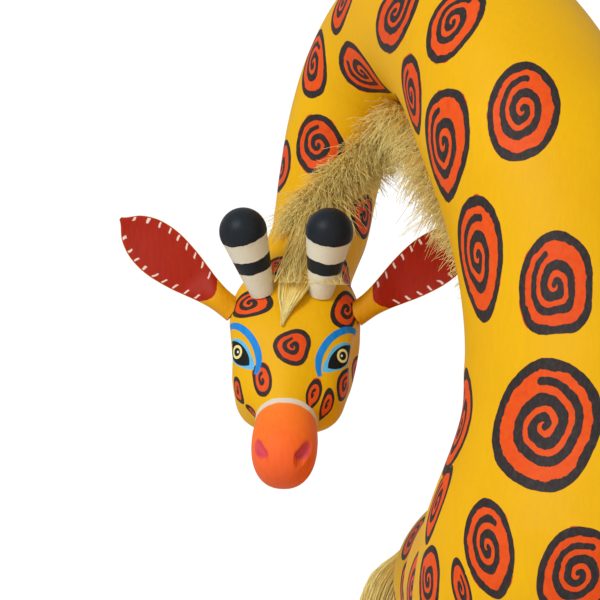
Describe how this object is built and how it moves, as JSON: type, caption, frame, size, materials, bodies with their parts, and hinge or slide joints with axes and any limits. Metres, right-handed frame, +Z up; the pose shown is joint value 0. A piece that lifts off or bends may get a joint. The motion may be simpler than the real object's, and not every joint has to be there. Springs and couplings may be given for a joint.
{
  "type": "carved giraffe statue",
  "caption": "Painted carved-wood giraffe standing on its own legs, thick neck arched over its flank so the head faces front again, fibre mane and tail tuft.",
  "frame": {"origin": "on the floor, under the middle of the statue's outline", "axes": "+Z up; the statue faces -Y; its own left side is +X and its right side, over which the neck arches, is -X"},
  "size_m": [0.1754, 0.1867, 0.3727],
  "materials": {
    "painted_wood": "satin acrylic paint on carved wood",
    "ear_paint": "satin acrylic paint on carved wood",
    "horn_paint": "satin acrylic paint on carved wood",
    "bare_wood": "bare turned wood",
    "ixtle": "combed agave fibre",
    "thread": "waxed thread"
  },
  "bodies": {
    "statue": {"trunk": "painted_wood", "neck_lower": "painted_wood", "neck_arch": "painted_wood", "neck_upper": "painted_wood", "head": "painted_wood", "leg_front_left": "painted_wood", "leg_front_right": "painted_wood", "leg_back_left": "painted_wood", "leg_back_right": "painted_wood", "dowel_leg_fl": "bare_wood", "dowel_leg_fr": "bare_wood", "dowel_leg_bl": "bare_wood", "dowel_leg_br": "bare_wood", "dowel_neck_base": "bare_wood", "dowel_neck_rise": "bare_wood", "dowel_neck_fall": "bare_wood", "dowel_head": "bare_wood", "mane_lower": "ixtle", "mane_arch": "ixtle", "mane_upper": "ixtle", "forelock": "ixtle"},
    "ear_left": {"ear_left": "ear_paint"},
    "ear_right": {"ear_right": "ear_paint"},
    "horn_left": {"horn_left": "horn_paint"},
    "horn_right": {"horn_right": "horn_paint"},
    "tail": {"tail": "painted_wood", "tail_tuft": "ixtle", "tuft_binding": "thread"}
  },
  "joints": [
    {"name": "ear_left_pull", "type": "slide", "parent": "statue", "child": "ear_left", "axis": [0.8167, -0.0627, 0.5737], "range_m": [0, 0.0115]},
    {"name": "ear_right_pull", "type": "slide", "parent": "statue", "child": "ear_right", "axis": [-0.7747, 0.0627, 0.6292], "range_m": [0, 0.0115]},
    {"name": "horn_left_pull", "type": "slide", "parent": "statue", "child": "horn_left", "axis": [0.1182, -0.4887, 0.8644], "range_m": [0, 0.0115]},
    {"name": "horn_right_pull", "type": "slide", "parent": "statue", "child": "horn_right", "axis": [-0.2667, -0.4456, 0.8546], "range_m": [0, 0.0115]},
    {"name": "tail_pull", "type": "slide", "parent": "statue", "child": "tail", "axis": [-0.1203, 0.9522, 0.2807], "range_m": [0, 0.0115]}
  ]
}
